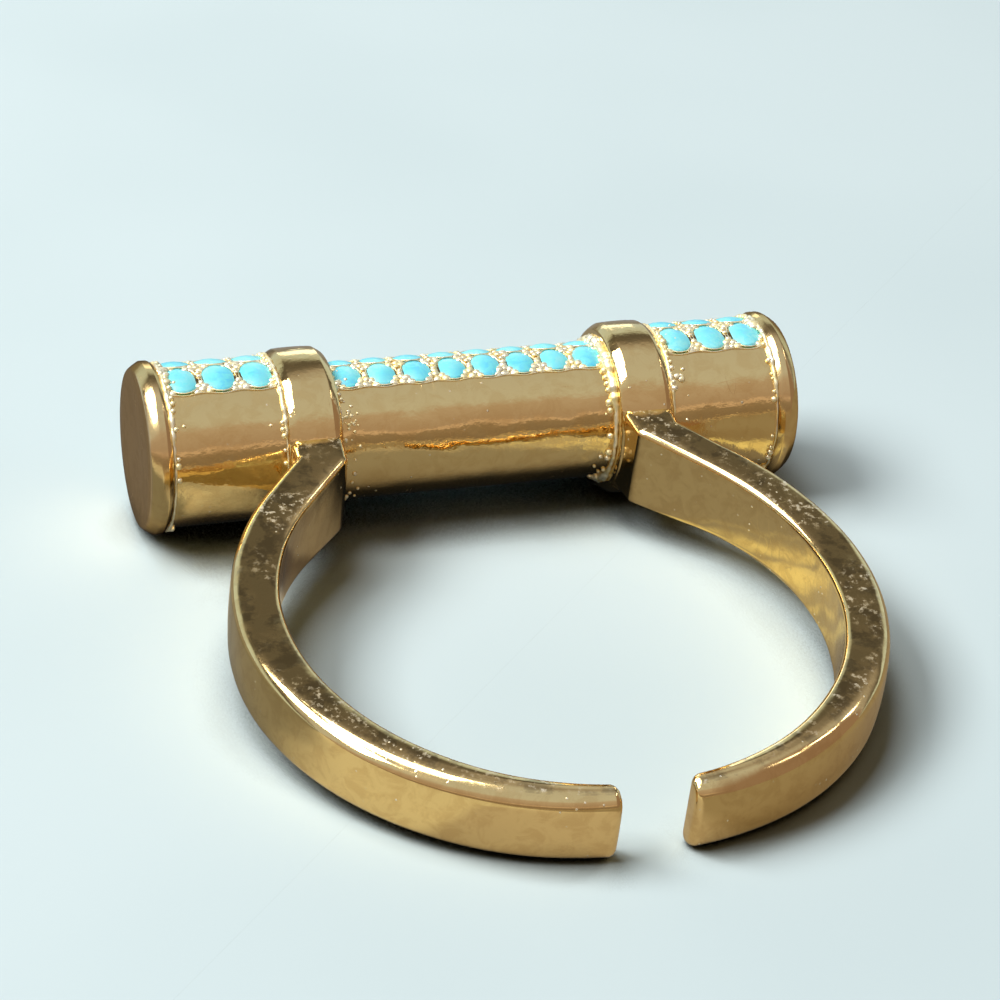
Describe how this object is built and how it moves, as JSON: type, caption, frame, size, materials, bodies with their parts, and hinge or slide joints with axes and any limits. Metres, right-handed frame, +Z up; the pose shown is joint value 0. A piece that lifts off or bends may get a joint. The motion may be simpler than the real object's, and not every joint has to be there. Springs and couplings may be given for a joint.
{
  "type": "bar ring",
  "caption": "Open finger ring lying on its side, with a stone-set cylindrical bar across the top held by two collars.",
  "frame": {"origin": "centre of the bounding box's underside, on the table that the ring lies on", "axes": "+Z up, +X along the bar, +Y from the band's gap towards the bar; the finger's axis leans 4.77 degrees from +Z towards -Y, as the ring rests"},
  "size_m": [0.0216, 0.023, 0.0057],
  "materials": {
    "gold_polished": "polished pale gold plating with small pits and wear",
    "gold_cap": "polished pale gold plating, slightly duller on the flat faces",
    "turquoise": "polished opaque turquoise cabochon"
  },
  "bodies": {
    "root": {"frame": "gold_polished", "end_cap_left": "gold_cap", "end_cap_right": "gold_cap", "stones_left": "turquoise", "stones_middle": "turquoise", "stones_right": "turquoise"}
  },
  "joints": []
}
